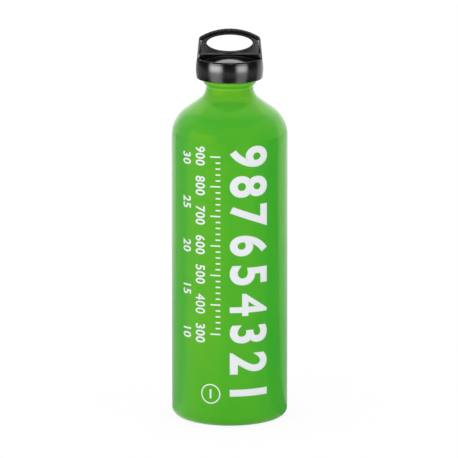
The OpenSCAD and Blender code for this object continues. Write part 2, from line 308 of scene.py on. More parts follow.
class Tree:
    """A shader tree whose nodes are added one call at a time."""

    def __init__(self, nodes):
        self.nodes = nodes

    def node(self, kind, settings, sockets, out=0):
        """A node of a kind: its settings first, then the values or links of its sockets."""
        made = self.nodes.nodes.new(kind)
        for name, value in settings.items():
            setattr(made, name, value)
        for name, value in sockets.items():
            if isinstance(value, Term):
                self.nodes.links.new(value.socket, made.inputs[name])
            else:
                made.inputs[name].default_value = value
        return Term(self, made.outputs[out])

    def axis(self, place, number):
        """One of the three numbers of a place or direction."""
        return self.node("ShaderNodeSeparateXYZ", {}, {0: place}, number)

    def vector(self, operation, a, b=None, out=0):
        return self.node("ShaderNodeVectorMath", {"operation": operation}, {0: a} if b is None else {0: a, 1: b}, out)

    def rays(self):
        """1 on a camera ray, and 1 on a glossy one."""
        return [self.node("ShaderNodeLightPath", {}, {}, kind) for kind in ("Is Camera Ray", "Is Glossy Ray")]

    def end(self, kind, result):
        """Links the result to the tree's output."""
        self.nodes.links.new(result.socket, self.nodes.nodes[kind].inputs["Surface"])


class Finish(Tree):
    """A material and its shader tree, with one Principled shader that everything feeds."""

    def __init__(self, name, **constants):
        self.material = bpy.data.materials.new(name)
        self.material.use_nodes = True
        super().__init__(self.material.node_tree)
        self.shader = self.nodes.nodes["Principled BSDF"]
        for socket, value in constants.items():
            self.shader.inputs[socket.replace("_", " ")].default_value = value
        self.place = self.node("ShaderNodeTexCoord", {}, {}, "Object")

    def noise(self, size_mm, detail=3.0, place=None, roughness=0.55):
        """Noise of about 0 to 1 whose blots are about size_mm across."""
        return self.node("ShaderNodeTexNoise", {}, {"Vector": place or self.place, "Scale": 1 / (size_mm * MM),
                                                    "Detail": detail, "Roughness": roughness})

    def mix(self, factor, a, b):
        """Colour a where the factor is 0 and b where it is 1."""
        return self.node("ShaderNodeMix", {"data_type": "RGBA"}, {0: factor, 6: a, 7: b}, 2)

    def stretched(self, x, y, z):
        """Object coordinates with each axis multiplied."""
        return self.vector("MULTIPLY", self.place, (x, y, z))

    def height(self, low_mm, high_mm):
        """0 below one height and 1 above another."""
        return self.axis(self.place, 2).ramp(low_mm * MM, high_mm * MM)

    def feed(self, **links):
        for socket, value in links.items():
            self.nodes.links.new(value.socket, self.shader.inputs[socket.replace("_", " ")])

    def bump(self, height, depth_mm, strength=1.0):
        """A relief of the given depth where the height goes from 0 to 1."""
        self.feed(Normal=self.node("ShaderNodeBump", {}, {"Height": height, "Distance": depth_mm * MM,
                                                          "Strength": strength}))


def colour(red, green, blue):
    """A display colour of 0 to 255 as the linear colour that shaders use."""
    c = np.array([red, green, blue]) / 255
    return (*np.where(c <= 0.04045, c / 12.92, ((c + 0.055) / 1.055) ** 2.4).tolist(), 1.0)


# Finishes

def green_lacquer():
    """Glossy lacquer over drawn aluminium, with a faint orange peel and a scuffed foot. Round the neck the paint is
    yellower and lighter, as painted light against the closure's shade, with painted highlights on its bead, under the
    crease and on the upper flank. Inside and where the attribute says so, the metal is bare."""
    f = Finish("green_lacquer", IOR=1.5, Specular_Tint=LACQUER_GLINT)
    bare = f.node("ShaderNodeAttribute", {"attribute_name": "bare"}, {}, "Fac").ramp(0.3, 0.7)
    paint = f.mix(f.noise(38, 2).ramp(0.35, 0.65), LACQUER_DEEP, LACQUER_LIGHT)
    # Painted light: towards the neck the paint turns yellower and lighter, making up for the shade under the closure
    paint = f.mix(f.height(212, 232), paint, LACQUER_NECK_PAINTED_LIGHT)
    # Painted highlights: lighter bands on the bead and under the crease stand in for their reflections, and a faint one
    # on the upper flank hides the closure's dark reflection and shade there
    painted_highlight = f.height(231.2, 231.8) * (1.0 - f.height(232.5, 233.1)) + f.height(234.6, 235.4)
    painted_highlight = painted_highlight + 0.22 * f.height(214, 219) * (1.0 - f.height(225, 229))
    paint = f.mix(painted_highlight, paint, LACQUER_PAINTED_HIGHLIGHT)
    metal = f.mix(f.noise(6, 4, f.stretched(1, 1, 0.15)), ALUMINIUM_DARK, ALUMINIUM_LIGHT)
    scuff = f.noise(0.9, 4).ramp(0.5, 0.7) * (1.0 - f.height(0, 3))
    f.feed(Base_Color=f.mix(bare, paint, metal), Metallic=bare,
           Roughness=0.035 + 0.015 * f.noise(11, 3) + 0.25 * scuff + 0.3 * bare)
    f.bump(f.noise(1.6, 2) + 0.35 * f.noise(7, 1), 0.0012)
    return f.material


def print_ink():
    """White screen print, slightly uneven where the mesh of the screen let less ink through."""
    f = Finish("print_ink", IOR=1.45)
    f.feed(Base_Color=f.mix(f.noise(0.5, 3).ramp(0.3, 0.75), INK_DULL, INK_WHITE),
           Roughness=0.3 + 0.15 * f.noise(1.2, 3))
    f.bump(f.noise(0.35, 2), 0.004)
    return f.material


def machined_aluminium():
    """Bright metal with turning marks, which are fine rings round the axis."""
    f = Finish("machined_aluminium", Metallic=1.0)
    marks = f.noise(0.22, 3, f.stretched(0.02, 0.02, 1))
    f.feed(Base_Color=f.mix(f.noise(5, 3), ALUMINIUM_DARK, ALUMINIUM_LIGHT), Roughness=0.2 + 0.16 * marks)
    f.bump(marks, 0.006)
    return f.material


def seal_rubber():
    """Black rubber with a soft bloom."""
    f = Finish("seal_rubber")
    bloom = f.noise(1.4, 4)
    f.feed(Base_Color=f.mix(bloom, colour(17, 17, 17), colour(34, 34, 33)), Roughness=0.5 + 0.2 * bloom)
    f.bump(f.noise(0.25, 3), 0.01)
    return f.material


def plug_plastic():
    """Satin black plastic with flow marks from its mould."""
    f = Finish("plug_plastic")
    flow = f.noise(4, 4, f.stretched(1, 1, 0.3))
    f.feed(Base_Color=f.mix(flow, colour(28, 28, 29), colour(42, 42, 43)), Roughness=0.38 + 0.15 * flow)
    f.bump(f.noise(0.3, 3), 0.006)
    return f.material


def spring_plastic():
    """Natural off-white plastic, a little waxy."""
    f = Finish("spring_plastic", Subsurface_Weight=0.1)
    f.feed(Base_Color=f.mix(f.noise(3, 3), colour(222, 216, 200), colour(238, 234, 222)),
           Roughness=0.4 + 0.1 * f.noise(1, 3))
    f.bump(f.noise(0.4, 2), 0.005)
    return f.material


def cap_plastic():
    """Semi-gloss black plastic with a fine moulded grain, rubbed smoother in places."""
    f = Finish("cap_plastic", IOR=1.46)
    grain = f.noise(0.9, 3, roughness=0.6)
    rubbed = f.noise(5, 3).ramp(0.4, 0.65)
    f.feed(Base_Color=f.mix(grain, CAP_DEEP, CAP_LIGHT), Roughness=0.15 + 0.08 * grain - 0.03 * rubbed)
    f.bump(grain + 0.5 * f.noise(0.3, 2), 0.012)
    return f.material


LACQUER_DEEP, LACQUER_LIGHT = (0.037, 0.380, 0.026, 1), (0.044, 0.394, 0.025, 1)
# Painted light: the neck's lighter, yellower paint, and the colour of the painted highlights on the bead, crease and
# flank
LACQUER_NECK_PAINTED_LIGHT, LACQUER_PAINTED_HIGHLIGHT = (0.098, 0.450, 0.024, 1), (0.150, 0.560, 0.044, 1)
LACQUER_GLINT = (1.0, 1.0, 0.0, 1)
ALUMINIUM_DARK, ALUMINIUM_LIGHT = colour(188, 190, 192), colour(222, 223, 224)
INK_DULL, INK_WHITE = colour(222, 225, 228), colour(232, 235, 237)
CAP_DEEP, CAP_LIGHT = colour(6, 5, 6), colour(15, 14, 14)

finishes = {make.__name__: make() for make in (green_lacquer, print_ink, machined_aluminium, seal_rubber,
                                               plug_plastic, spring_plastic, cap_plastic)}


# Bottle

def flank_angle(shoulder_r, throat_r):
    """Angle at which the straight flank touches both curves: the direction between their centres less
    the angle whose cosine is the sum of the radii over the distance."""
    gap = np.array([NECK_R + THROAT_R, WAIST_Z]) - np.array([BODY_R - SHOULDER_R, STRAIGHT_TOP])
    return math.degrees(math.atan2(gap[1], gap[0]) - math.acos((shoulder_r + throat_r) / np.hypot(*gap)))


def shoulder_line(shoulder_r, throat_r):
    """From the top of the wall over the shoulder and the flank to the narrowest part of the neck."""
    angle = flank_angle(shoulder_r, throat_r)
    return joined(arc((BODY_R - SHOULDER_R, STRAIGHT_TOP), shoulder_r, 0, angle, 40),
                  arc((NECK_R + THROAT_R, WAIST_Z), throat_r, 180 + angle, 180, 32), reach=0.4)


def bottle_surface():
    """The drawn shell as one turned section: domed base, foot ring, wall, shoulder, waist, tapered step,
    bead and rolled lip outside, and the same a wall's thickness further in on the way back."""
    dome_centre = (0, BASE_RISE - BASE_DOME_R)
    foot_angle = math.degrees(math.acos(FOOT_INNER_R / BASE_DOME_R))
    outer_top = rounded([(NECK_R, WAIST_Z, 0), (NECK_R, STEP_Z, 0.25), (BEAD_R, BEAD_Z, 0.7),
                         (BEAD_R, RIM_Z, 0.8), (LAND_R, RIM_Z, 0.3), (LAND_R, RIM_Z - LIP_H, 0)])
    inner_top = rounded([(LAND_R, RIM_Z - LIP_H, 0), (BEAD_R - NECK_WALL, RIM_Z - LIP_H, 0.2),
                         (BEAD_R - NECK_WALL, BEAD_Z, 0.4), (NECK_R - NECK_WALL, STEP_Z, 0.2),
                         (NECK_R - NECK_WALL, WAIST_Z, 0)])
    inner_edge = BASE_EDGE_R - WALL
    inner_foot_r = math.sqrt((BASE_DOME_R + BASE_WALL) ** 2 - (BASE_WALL - dome_centre[1]) ** 2)
    inner_angle = math.degrees(math.acos(inner_foot_r / (BASE_DOME_R + BASE_WALL)))
    outside = joined(arc(dome_centre, BASE_DOME_R, 90, foot_angle, 28),
                     rounded([(FOOT_INNER_R, 0, 0), (FOOT_OUTER_R, 0, 0)]),
                     arc((FOOT_OUTER_R, BASE_EDGE_R), BASE_EDGE_R, -90, 0, 20),
                     shoulder_line(SHOULDER_R, THROAT_R), outer_top)
    inside = joined(inner_top, shoulder_line(SHOULDER_R - WALL, THROAT_R + NECK_WALL)[::-1],
                    arc((FOOT_OUTER_R, BASE_WALL + inner_edge), inner_edge, 0, -90, 12),
                    arc(dome_centre, BASE_DOME_R + BASE_WALL, inner_angle, 90, 20))
    line = joined(outside, inside)
    line[0, 0] = line[-1, 0] = 0
    verts, groups = turned(line)
    painted = np.argmax(line[:, 1]) - 1
    bare = np.repeat((np.arange(len(line))[1:-1] > painted + 6).astype(float), 256)
    return (verts, groups), np.r_[bare, 0, 1]


shell, shell_bare = bottle_surface()
piece("lacquered_bottle", "bottle", "green_lacquer", finishes["green_lacquer"], [shell],
      ["bottle_shell"], shell_bare)


# Thread insert, seal, plug and spring

def ridge_height(z, angle, start_z):
    """Height of the helical ridge, from 0 to 1. The nearest turn's middle line lies at the start plus
    the pitch times the turns so far. The ridge is full over its crest, falls to nothing over the
    flanks, and fades at both ends."""
    turns = (z - start_z) / PITCH - angle / TURN
    nearest = np.rint(turns)
    across = np.abs(turns - nearest) * PITCH
    travelled = angle / TURN + nearest
    fade = np.clip(np.minimum(travelled, THREAD_TURNS - travelled) / FADE_TURN, 0, 1)
    flank = np.clip((ROOT_W / 2 - across) / ((ROOT_W - CREST_W) / 2), 0, 1)
    return fade * flank * flank * (3 - 2 * flank)


def evenly(start, end, step):
    """A straight run of points with about the given step."""
    count = max(2, round(np.hypot(*(np.array(end) - np.array(start))) / step))
    return np.linspace(start, end, count + 1)


def insert_surface():
    """The ring in the neck. Its bore carries the female ridge, which stands in from the root radius."""
    waist_r, collar_r = NECK_R - NECK_WALL - SEAT_FIT, BEAD_R - NECK_WALL - SEAT_FIT
    lip_z = RIM_Z - LIP_H - SEAT_FIT
    line = joined(evenly((INSERT_ROOT_R, INSERT_Z + 0.4), (INSERT_ROOT_R, RIM_Z - 0.4), 0.14),
                  rounded([(INSERT_ROOT_R, RIM_Z - 0.4, 0), (INSERT_ROOT_R, RIM_Z, 0.3),
                           (LAND_R - SEAT_FIT, RIM_Z, 0.15), (LAND_R - SEAT_FIT, lip_z, 0.1),
                           (collar_r, lip_z, 0.2), (collar_r, BEAD_Z, 0.3), (waist_r, STEP_Z, 0.2),
                           (waist_r, INSERT_Z, 0.4), (INSERT_ROOT_R, INSERT_Z, 0.3),
                           (INSERT_ROOT_R, INSERT_Z + 0.4, 0)]))[:-1]
    start_z = THREAD_Z - PITCH / 2

    def bored(r, z, a):
        on_bore = r < INSERT_ROOT_R + 1e-4
        return np.where(on_bore, r - THREAD_DEPTH * ridge_height(z, a, start_z), r)
    return turned(line, 192, bored)


def plug_surface():
    """The threaded stem, closed below and hollow, with its chamfer, seal groove and flange."""
    bore_r, groove_top = PLUG_CORE_R - STEM_WALL, FLANGE_Z + SEAL_D - SEAL_GAP + 2 * SEAT_FIT
    groove = SEAL_D / 2 + SEAT_FIT
    line = joined(rounded([(0, STEM_Z, 0), (PLUG_CORE_R - STEM_CHAMFER, STEM_Z, 0.3),
                           (PLUG_CORE_R, STEM_Z + STEM_CHAMFER, 0.2), (PLUG_CORE_R, STEM_Z + 1.3, 0)]),
                  evenly((PLUG_CORE_R, STEM_Z + 1.3), (PLUG_CORE_R, FLANGE_Z - 0.5), 0.14),
                  rounded([(PLUG_CORE_R, FLANGE_Z - 0.5, 0), (PLUG_CORE_R, FLANGE_Z, 0.3),
                           (SEAL_R - groove, FLANGE_Z, 0.1), (SEAL_R - groove, groove_top, 0.3),
                           (SEAL_R + groove, groove_top, 0.3), (SEAL_R + groove, FLANGE_Z, 0.1),
                           (FLANGE_R, FLANGE_Z, 0.4), (FLANGE_R, FLANGE_TOP, 0.4), (bore_r, FLANGE_TOP, 0.5),
                           (bore_r, STEM_Z + STEM_WALL, 0.8), (0, STEM_Z + STEM_WALL, 0)]))

    def threaded(r, z, a):
        on_stem = (np.abs(r - PLUG_CORE_R) < 1e-4) & (z < FLANGE_Z)
        return np.where(on_stem, r + THREAD_DEPTH * ridge_height(z, a, THREAD_Z), r)
    return turned(line, 192, threaded)


def seal_surface():
    """A ring of round section, pressed a little flat above and below: the height is the cosine of the
    section's angle, drawn in where it is steep, and a fine parting line runs round its waist."""
    angle = np.arange(40) * TURN / 40
    line = np.stack([SEAL_R + (SEAL_D / 2 + 0.03 * np.exp(-(np.sin(angle) / 0.08) ** 2)) * np.cos(angle) * 0.97,
                     RIM_Z + SEAL_D / 2 + SEAT_FIT + SEAL_D / 2 * np.sin(angle) * 0.98], 1)
    return turned(line, 192)


def spring_surface():
    """A flat ring of rounded section that rises and falls: every point is lifted by the swing times one
    less the cosine of the wave count times its angle."""
    low_z = FLANGE_TOP + SEAT_FIT
    swing = (CEILING_Z - SEAT_FIT - low_z - SPRING_T) / 2
    inner_r = SPRING_OUTER_R - SPRING_W
    e = 0.2
    line = np.concatenate([arc((x, y), e, start, start + 90, 4) for x, y, start in (
        (SPRING_OUTER_R - e, SPRING_T - e, 0), (inner_r + e, SPRING_T - e, 90),
        (inner_r + e, e, 180), (SPRING_OUTER_R - e, e, 270))])
    angle = np.arange(288)[None, :] * TURN / 288
    lift = low_z + swing * (1 - np.cos(SPRING_WAVES * angle))
    r = line[:, :1]
    return closed_grid(np.stack([r * np.cos(angle), r * np.sin(angle), line[:, 1:] + lift], -1))


piece("thread_insert", "bottle", "machined_aluminium", finishes["machined_aluminium"], [insert_surface()],
      ["neck_insert"])
piece("sealing_ring", "seal", "seal_rubber", finishes["seal_rubber"], [seal_surface()], ["seal_ring"])
piece("threaded_plug", "plug", "plug_plastic", finishes["plug_plastic"],
      [plug_surface(), *lugs(FLANGE_TOP - LUG_SUNK, 0.0)], ["screw_plug"])
spring = piece("wave_spring", "spring", "spring_plastic", finishes["spring_plastic"], [spring_surface()],
               ["spring_ring"])
spring_height = CEILING_Z - FLANGE_TOP - 2 * SEAT_FIT
(FLANGE_TOP + SEAT_FIT) * MM
(spring_height - PRESS) / spring_height
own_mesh(spring)


# Outer closure

def barrel_at(z):
    """Radius of the skirt: the barrel curve's circle at this height."""
    return SKIRT_R - BARREL_R + np.sqrt(BARREL_R**2 - (z - BELLY_Z) ** 2)


def dome_at(r):
    """Height of the domed top at a distance from the axis."""
    return DOME_Z - DOME_R + np.sqrt(DOME_R**2 - r**2)


def skirt_surface():
    """The round part as one turned section: domed top, valley, rounded rim, barrel skirt and lower edge
    outside, then the inner wall with its snap bead, the ceiling and the hollow in its middle."""
    rim_z = SKIRT_TOP + RIM_PROUD - RIM_W / 2
    rim_r = barrel_at(rim_z) - RIM_W / 2
    valley_r = rim_r - RIM_W / 2
    edge_z = SKIRT_Z + EDGE_R
    edge_r = barrel_at(edge_z) - EDGE_R
    dome_r = np.linspace(0, valley_r - 0.9, 36)
    z = np.linspace(rim_z, edge_z, 40)
    snap_z = FLANGE_Z - PLAY - SNAP_H / 2
    outside = joined(np.stack([dome_r, dome_at(dome_r)], 1),
                     rounded([(dome_r[-1], dome_at(dome_r[-1]), 0), (valley_r, dome_at(valley_r), 0.5),
                              (valley_r, rim_z, 0)]),
                     arc((rim_r, rim_z), RIM_W / 2, 180, 0, 16), np.stack([barrel_at(z), z], 1),
                     arc((edge_r, edge_z), EDGE_R, 0, -90, 10))
    inside = joined(rounded([(edge_r, SKIRT_Z, 0), (SKIRT_INNER_R, SKIRT_Z, 0.4),
                             (SKIRT_INNER_R, snap_z - 0.5, 0)]),
                    arc((SNAP_R + 0.5, snap_z), 0.5, 270, 90, 10),
                    rounded([(SKIRT_INNER_R, snap_z + 0.5, 0), (SKIRT_INNER_R, CEILING_Z, 0.4),
                             (CORE_R, CEILING_Z, 0.3), (CORE_R, DOME_Z - TOP_WALL, 0.5),
                             (0, DOME_Z - TOP_WALL, 0)]))
    return turned(joined(outside, inside))


def loop_ring(half_foot, foot_z, inset, counts=(48, 36, 14, 96)):
    """The loop's outline, drawn in by the inset, from the middle of its foot round and back. The top
    corners and the arch are arcs whose radii lose the inset, and the sides run straight to the foot."""
    foot_n, side_n, corner_n, arch_n = counts
    x = LOOP_CORNER_X - CORNER_R
    centre = np.array([x, ARCH_Z + math.sqrt((ARCH_R - CORNER_R) ** 2 - x**2)])
    turn = math.degrees(math.atan2(centre[1] - ARCH_Z, centre[0]))
    corner = arc(centre, CORNER_R - inset, 0, turn, corner_n)
    arch = arc((0, ARCH_Z), ARCH_R - inset, turn, 90, arch_n // 2)
    foot = np.array([half_foot, foot_z])
    right = np.concatenate([np.linspace((0, foot_z), foot, foot_n // 2, endpoint=False),
                            np.linspace(foot, corner[0], side_n, endpoint=False), corner, arch[1:]])
    left = right[1:-1][::-1] * (-1, 1)
    return np.concatenate([right, left])


def loop_surface():
    """The upright plate as a closed grid. One way runs round the outline, and the other runs over the
    plate: up the rounded outer edge, over the raised border, down to the sunk web, round the eye's
    rounded edge and through the eye, and back the same way on the far side. Near the top of the
    closure the faces flare out, by the radius less the circle's height over that distance."""
    edge, eye_edge, border, slope, sunk, flare, bead = 0.4, 0.6, 0.95, 1.35, 0.45, 0.8, 0.16
    foot_half, web_foot_z, foot_slope, eye_gap = 22.9, 254.4, 1.35, 0.9
    foot_z = CEILING_Z + LUG_SUNK
    web_half = foot_half - edge - border - 0.2

    def plate(inset):
        return loop_ring(foot_half - inset, foot_z + inset, inset)

    def web(inset):
        return loop_ring(web_half - inset, web_foot_z + inset * foot_slope / slope, border + inset)

    def bevel(t):
        flat = web(slope * t)
        reach = np.clip(1 - (flat[:, 0] / (EYE_A + eye_edge)) ** 2, 0, 1)
        under_eye = EYE_Z - (EYE_B + eye_edge) * np.sqrt(reach) - 0.12 - eye_gap * (1 - t)
        low = flat[:, 1] < EYE_Z - EYE_B / 2
        return np.stack([flat[:, 0], np.where(low, np.minimum(flat[:, 1], under_eye), flat[:, 1])], 1)

    toward = bevel(1) - (0, EYE_Z)
    angle = np.arctan2(toward[:, 1] / EYE_B, toward[:, 0] / EYE_A)

    def eye(outset):
        return np.stack([(EYE_A + outset) * np.cos(angle), EYE_Z + (EYE_B + outset) * np.sin(angle)], 1)

    rings = []
    for t in np.radians(np.linspace(0, 90, 7)):
        rings.append((plate(edge * (1 - math.cos(t))), LOOP_HALF_T - edge * (1 - math.sin(t))))
    for t in (0.02, *np.linspace(0.06, 0.96, 26), 0.985):
        rings.append(((1 - t) * plate(edge) + t * bevel(0), LOOP_HALF_T + bead * max(0, t - 0.65) / 0.35))
    for t, share in zip(np.linspace(0, 1, 9), (0, 0.04, 0.2, 0.35, 0.5, 0.65, 0.8, 0.96, 1)):
        rings.append((bevel(t), LOOP_HALF_T + bead - (sunk + bead) * share))
    for t in (0.03, 0.12, 0.3, 0.5, 0.7, 0.88, 0.97):
        rings.append(((1 - t) * bevel(1) + t * eye(eye_edge), LOOP_HALF_T - sunk))
    for t in np.radians(np.linspace(0, 90, 9)):
        rings.append((eye(eye_edge * (1 - math.sin(t))), LOOP_HALF_T - sunk - eye_edge * (1 - math.cos(t))))
    front = np.stack([np.concatenate([flat, np.full((len(flat), 1), depth)], 1) for flat, depth in rings])
    rings_n = len(front)
    depth = front[..., 2]
    above = front[..., 1] - dome_at(np.minimum(np.abs(front[..., 0]), SKIRT_R))
    share = np.clip(above / flare, 0, 1)
    grown = flare * (1 - np.sqrt(1 - (1 - share) ** 2))
    depth = depth + grown * (depth / LOOP_HALF_T) * (np.arange(rings_n)[:, None] < rings_n - 16)
    front = np.stack([front[..., 0], -depth, front[..., 1]], -1)
    back = front[::-1] * (1, -1, 1)
    return closed_grid(np.concatenate([front, back]))


closure = piece("closure_shell", "cap", "cap_plastic", finishes["cap_plastic"],
      [skirt_surface(), loop_surface(), *lugs(CEILING_Z - LUG_H, TURN / (2 * LUG_COUNT))], ["cap_shell"])


# Print on the wall: flat shapes whose first coordinate is an arc length and whose second is a height

INK_T, INK_SUNK = 0.05, 0.02
LITRE_AREA = math.pi * (BODY_R - WALL) ** 2
EMPTY_Z = 3.6


def level_z(millilitres):
    """Height of the fuel's surface: the volume over the inner area, from the level that the domed base
    takes away."""
    return EMPTY_Z + millilitres * 1000 / LITRE_AREA


def on_wall(flat):
    """Wraps points (arc length, height, depth) onto the wall: the angle is the arc length over the
    radius, counted from the front, and the depth stands out from it."""
    angle = flat[:, 0] / BODY_R
    r = BODY_R - INK_SUNK + flat[:, 2]
    return np.stack([r * np.sin(angle), -r * np.cos(angle), flat[:, 1]], 1)


def wrapped(name, bm, body="bottle"):
    """A print piece from flat closed solids in millimetres: they are cut every millimetre across, so that
    no face is a chord of the wall, and wrapped onto it."""
    xs = [v.co.x for v in bm.verts]
    for x in np.arange(math.ceil(min(xs)), max(xs), 1.0):
        bmesh.ops.bisect_plane(bm, geom=bm.verts[:] + bm.edges[:] + bm.faces[:], plane_co=(x, 0, 0),
                               plane_no=(1, 0, 0))
    bmesh.ops.triangulate(bm, faces=bm.faces[:])
    mesh = bpy.data.meshes.new(name)
    bm.to_mesh(mesh)
    bm.free()
    flat = np.zeros(len(mesh.vertices) * 3)
    mesh.vertices.foreach_get("co", flat)
    mesh.vertices.foreach_set("co", (on_wall(flat.reshape(-1, 3)) * MM).ravel())
    mesh.materials.append(finishes["print_ink"])
    made = bpy.data.objects.new(name, mesh)
    bpy.context.scene.collection.objects.link(made)
    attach(made, body)
    return made


def add_slab(bm, outline, hole=None):
    """Adds a flat solid of the ink's thickness: the outline twice, with the faces and sides between, or
    with a hole of the same number of points, as a ring of such strips."""
    n = len(outline)
    loops = [outline] if hole is None else [outline, hole]
    rows = [[bm.verts.new((x, y, z)) for x, y in line] for z in (0, INK_T + INK_SUNK) for line in loops]
    low, high = rows[:len(loops)], rows[len(loops):]
    for k in range(n):
        m = (k + 1) % n
        bm.faces.new((low[0][k], low[0][m], high[0][m], high[0][k]))
        if hole is not None:
            bm.faces.new((low[1][m], low[1][k], high[1][k], high[1][m]))
            bm.faces.new((high[0][k], high[0][m], high[1][m], high[1][k]))
            bm.faces.new((low[0][m], low[0][k], low[1][k], low[1][m]))
    if hole is None:
        bm.faces.new(high[0])
        bm.faces.new(low[0][::-1])


def bar(middle, size, radius):
    """Outline of a bar with rounded corners."""
    x, y = size[0] / 2 - radius, size[1] / 2 - radius
    return np.concatenate([arc((middle[0] + sx * x, middle[1] + sy * y), radius, start, start + 90, 5)
                           for sx, sy, start in ((1, 1, 0), (-1, 1, 90), (-1, -1, 180), (1, -1, 270))])


def add_digits(bm, text, cap_height, middle, boldness, upright=False, stretch=1.0):
    """Adds digits in Blender's own typeface as flat solids of the ink's thickness. They read from the
    top down, so their tops point right, unless they are upright. A bevel, pressed flat, makes them
    bolder, and a 4 less so, because its eye would close."""
    curve = bpy.data.curves.new("digits", "FONT")
    curve.body, curve.resolution_u = text, 8
    curve.bevel_depth, curve.bevel_resolution = boldness * (0.5 if "4" in text else 1.0), 0
    curve.extrude, curve.space_character = 0.5, 1.06 + boldness
    holder = bpy.data.objects.new("digits", curve)
    bpy.context.scene.collection.objects.link(holder)
    bpy.context.view_layer.update()
    mesh = bpy.data.meshes.new_from_object(holder.evaluated_get(bpy.context.evaluated_depsgraph_get()))
    bpy.data.objects.remove(holder)
    bpy.data.curves.remove(curve)
    points = np.zeros(len(mesh.vertices) * 3)
    mesh.vertices.foreach_get("co", points)
    points = points.reshape(-1, 3)
    low, high = points.min(0), points.max(0)
    x, y, z = ((points - (low + high) / 2) * cap_height / (high - low)[1]).T
    x = x * stretch
    z = np.where(points[:, 2] > 0, INK_T + INK_SUNK, 0.0)
    placed = np.stack([middle[0] + (x if upright else y), middle[1] + (y if upright else -x), z], 1)
    mesh.vertices.foreach_set("co", placed.ravel())
    count = len(bm.verts)
    bm.from_mesh(mesh)
    bpy.data.meshes.remove(mesh)
    bm.verts.ensure_lookup_table()
    bmesh.ops.remove_doubles(bm, verts=bm.verts[count:], dist=1e-4)


def across(degrees):
    """Arc length of a place at this angle from the front."""
    return math.radians(degrees) * BODY_R


BIG_MIDDLE, BIG_HEIGHT = across(19.8), 27.6
TICK_RIGHT, SMALL_HEIGHT = across(-9.1), 7.5
LITRE_MIDDLE, OUNCE_MIDDLE = across(-30.3), across(-46.9)
RING_MIDDLE, RING_R, RING_STROKE = (across(-19.2), 23.4), 7.0, 0.85
OUNCE = 29.5735
BIG_BOLD, SMALL_BOLD = 0.030, 0.022

digits = bmesh.new()
for level in range(1, 10):
    add_digits(digits, str(level), BIG_HEIGHT, (BIG_MIDDLE, level_z(level * 100)), BIG_BOLD, stretch=0.84)
wrapped("level_digits", digits)

numbers = bmesh.new()
for level in range(300, 1000, 100):
    add_digits(numbers, str(level), SMALL_HEIGHT, (LITRE_MIDDLE, level_z(level)), SMALL_BOLD, stretch=0.86)
wrapped("volume_numbers", numbers)

numbers = bmesh.new()
for level in range(10, 35, 5):
    add_digits(numbers, str(level), SMALL_HEIGHT, (OUNCE_MIDDLE, level_z(level * OUNCE)), SMALL_BOLD, stretch=0.86)
wrapped("second_scale_numbers", numbers)

ticks = bmesh.new()
for level in range(300, 910, 20):
    length = 7.2 if level % 100 == 0 else 3.4
    add_slab(ticks, bar((TICK_RIGHT - length / 2, level_z(level)), (length, 1.0), 0.3))
wrapped("level_ticks", ticks)

ring = bmesh.new()
add_slab(ring, arc(RING_MIDDLE, RING_R, 0, 360, 64)[:-1], arc(RING_MIDDLE, RING_R - RING_STROKE, 0, 360, 64)[:-1])
add_digits(ring, "1", 6.4, RING_MIDDLE, BIG_BOLD, upright=True)
wrapped("capacity_mark", ring)


# Stage: floor, surroundings, lamps and camera

def direction(azimuth, elevation=0.0):
    """Unit vector of a direction, whose azimuth is counted from the front to the right."""
    a, e = math.radians(azimuth), math.radians(elevation)
    return Vector((math.sin(a) * math.cos(e), -math.cos(a) * math.cos(e), math.sin(e)))


def glow(f, strength):
    return f.node("ShaderNodeEmission", {}, {"Color": (1, 1, 1, 1), "Strength": strength})


def veil(f, strength):
    """Light added to whatever lies behind: a glow and a clear surface in one."""
    return f.node("ShaderNodeAddShader", {}, {0: glow(f, strength), 1: f.node("ShaderNodeBsdfTransparent", {}, {})})


def circle(radius, z):
    """A line of points round the axis, in metres."""
    angle = np.arange(97) * TURN / 96
    return np.stack([radius * np.sin(angle), -radius * np.cos(angle), np.full(97, z)], 1)


def staged(name, lines, material, mirrored_only=False):
    """A surface of the stage through lines of as many points each, in metres, as a grid of quads.
    Where it is only mirrored, the camera and matt surfaces don't see it."""
    rows = np.array(lines, float)
    count, width = rows.shape[:2]
    i, k = np.meshgrid(np.arange(count - 1), np.arange(width - 1), indexing="ij")
    quads = np.stack([i * width + k, i * width + k + 1, (i + 1) * width + k + 1, (i + 1) * width + k], -1)
    mesh = bpy.data.meshes.new(name)
    mesh.from_pydata(rows.reshape(-1, 3).tolist(), [], quads.reshape(-1, 4).tolist())
    mesh.materials.append(material)
    made = bpy.data.objects.new(name, mesh)
    bpy.context.scene.collection.objects.link(made)
    if mirrored_only:
        made.visible_camera = made.visible_diffuse = made.visible_shadow = made.visible_transmission = False
    return made


def only_for(made, name, pieces, state="INCLUDE"):
    """Limits what a lamp or a glowing surface lights to the pieces, or keeps its light off them."""
    group = bpy.data.collections.new(name)
    for piece in pieces:
        group.objects.link(piece)
    for member in group.collection_objects:
        member.light_linking.link_state = state
    made.light_linking.receiver_collection = group


def toward(f, azimuth, edge_deg, full_deg):
    """1 in a level direction from the axis, and 0 further than some degrees from it."""
    level = f.vector("NORMALIZE", f.vector("MULTIPLY", f.place, (1, 1, 0)))
    side = f.vector("DOT_PRODUCT", level, direction(azimuth), "Value")
    return side.ramp(math.cos(math.radians(edge_deg)), math.cos(math.radians(full_deg)))


def distance(f):
    return f.vector("LENGTH", f.place, out="Value")


def pale_floor():
    """A pale matt floor. To the camera it keeps a soft shadow near the bottle and is white further off.
    Mirrored, half of it is its own light and half is a dim grey."""
    f = Finish("pale_floor", Base_Color=(0.92, 0.92, 0.92, 1), Roughness=0.9)
    camera_ray, glossy_ray = f.rays()
    away = distance(f).ramp(0.08, 0.3)
    white = glow(f, 1.0 - glossy_ray * (1 - FLOOR_GREY))
    share = camera_ray * (0.9 + 0.1 * away) + glossy_ray * 0.8
    f.end("Material Output", f.node("ShaderNodeMixShader", {}, {0: share, 1: Term(f, f.shader.outputs[0]), 2: white}))
    return f.material


